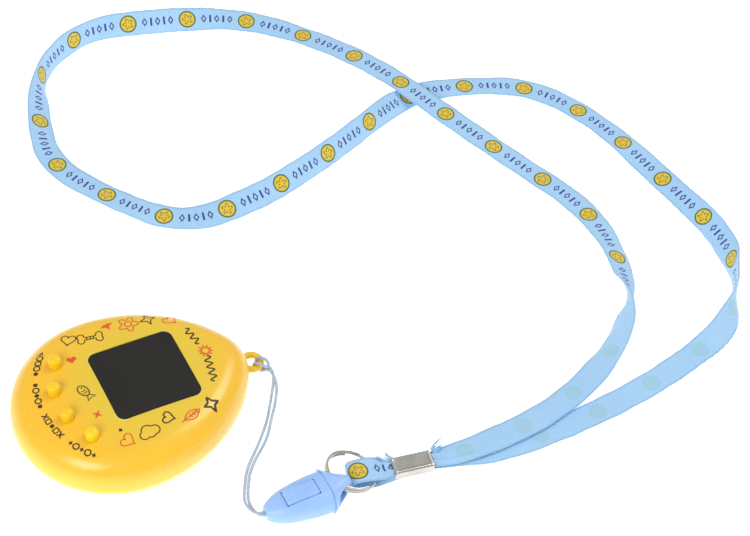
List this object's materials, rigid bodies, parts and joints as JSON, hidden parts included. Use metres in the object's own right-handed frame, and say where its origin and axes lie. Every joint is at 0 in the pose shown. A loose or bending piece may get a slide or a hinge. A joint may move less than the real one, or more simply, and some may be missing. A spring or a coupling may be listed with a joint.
{
  "type": "virtual pet keychain",
  "caption": "Egg-shaped handheld virtual pet with a square screen and four buttons, on a cord with a quick-release buckle, split ring and printed neck strap.",
  "frame": {"origin": "on the surface the case lies on, under the middle of the case and its moulded cord eye", "axes": "+Y along the case towards the cord eye, +X to the right for a player with the eye at the top, +Z out of the screen"},
  "size_m": [0.2673, 0.2901, 0.0284],
  "materials": {
    "case_yellow": "glossy",
    "button_yellow": "glossy",
    "window_dark": "glossy",
    "lcd_glass": "glossy",
    "white_plastic": "matte",
    "conductive_rubber": "matte",
    "board_green": "satin",
    "epoxy_black": "glossy",
    "silicone_grey": "matte",
    "cell_steel": "satin",
    "spring_plate": "glossy",
    "screw_steel": "satin",
    "cord_grey_blue": "matte",
    "buckle_blue": "satin",
    "nickel_plate": "glossy",
    "strap_blue": "matte"
  },
  "bodies": {
    "case": {"front_shell": "case_yellow", "back_shell": "case_yellow", "case_screws": "screw_steel", "board_screws": "screw_steel", "window_lens": "window_dark", "lcd_panel": "lcd_glass", "lcd_frame": "white_plastic", "zebra_strip": "conductive_rubber", "circuit_board": "board_green", "chip_cover": "epoxy_black", "board_components": "epoxy_black", "piezo_buzzer": "epoxy_black", "keypad_membrane": "silicone_grey", "keypad_contacts": "conductive_rubber", "button_cells": "cell_steel", "battery_contact_minus": "spring_plate", "battery_contact_plus": "spring_plate"},
    "door": {"battery_door": "case_yellow", "battery_door_screw": "screw_steel", "battery_bridge": "spring_plate"},
    "select_key": {"select_button": "button_yellow"},
    "decide_key": {"decide_button": "button_yellow"},
    "cancel_key": {"cancel_button": "button_yellow"},
    "reset_key": {"reset_button": "button_yellow"},
    "cord_end": {"cord_loop": "cord_grey_blue", "buckle_socket": "buckle_blue"},
    "plug": {"buckle_plug": "buckle_blue"},
    "latch": {"buckle_latch": "buckle_blue"},
    "ring": {"split_ring": "nickel_plate"},
    "strap": {"strap_clamp": "nickel_plate", "strap_ring_loop": "strap_blue", "lanyard_strap": "strap_blue"}
  },
  "joints": [
    {"name": "select_press", "type": "slide", "parent": "case", "child": "select_key", "axis": [0, 0, -1], "range_m": [0, 0.0008], "stiffness_N_per_m": 1500, "deforming": ["keypad_membrane"]},
    {"name": "decide_press", "type": "slide", "parent": "case", "child": "decide_key", "axis": [0, 0, -1], "range_m": [0, 0.0008], "stiffness_N_per_m": 1500, "deforming": ["keypad_membrane"]},
    {"name": "cancel_press", "type": "slide", "parent": "case", "child": "cancel_key", "axis": [0, 0, -1], "range_m": [0, 0.0008], "stiffness_N_per_m": 1500, "deforming": ["keypad_membrane"]},
    {"name": "reset_press", "type": "slide", "parent": "case", "child": "reset_key", "axis": [0, 0, -1], "range_m": [0, 0.0008], "stiffness_N_per_m": 1500, "deforming": ["keypad_membrane"]},
    {"name": "battery_door_lift", "type": "slide", "parent": "case", "child": "door", "axis": [0, 0, -1], "range_m": [0, 0.01]},
    {"name": "cord_swing", "type": "hinge", "parent": "case", "child": "cord_end", "pos_m": [0, 0.04177, 0.012], "axis": [0, 0, 1], "range_deg": [-10, 10]},
    {"name": "buckle_release", "type": "slide", "parent": "cord_end", "child": "plug", "axis": [0, 1, 0], "range_m": [0, 0.015], "deforming": ["buckle_latch"]},
    {"name": "latch_press", "type": "hinge", "parent": "plug", "child": "latch", "pos_m": [0.0576, 0.0302, 0.0072], "axis": [1, 0, 0], "range_deg": [-9, 0], "stiffness_Nm_per_rad": 0.3},
    {"name": "ring_pivot", "type": "hinge", "parent": "plug", "child": "ring", "pos_m": [0.0576, 0.0485, 0.006], "axis": [0, 0, 1], "range_deg": [-12, 0]},
    {"name": "strap_pivot", "type": "hinge", "parent": "ring", "child": "strap", "pos_m": [0.053, 0.0555, 0.0047], "axis": [0, 0, 1], "range_deg": [-5, 15]}
  ]
}
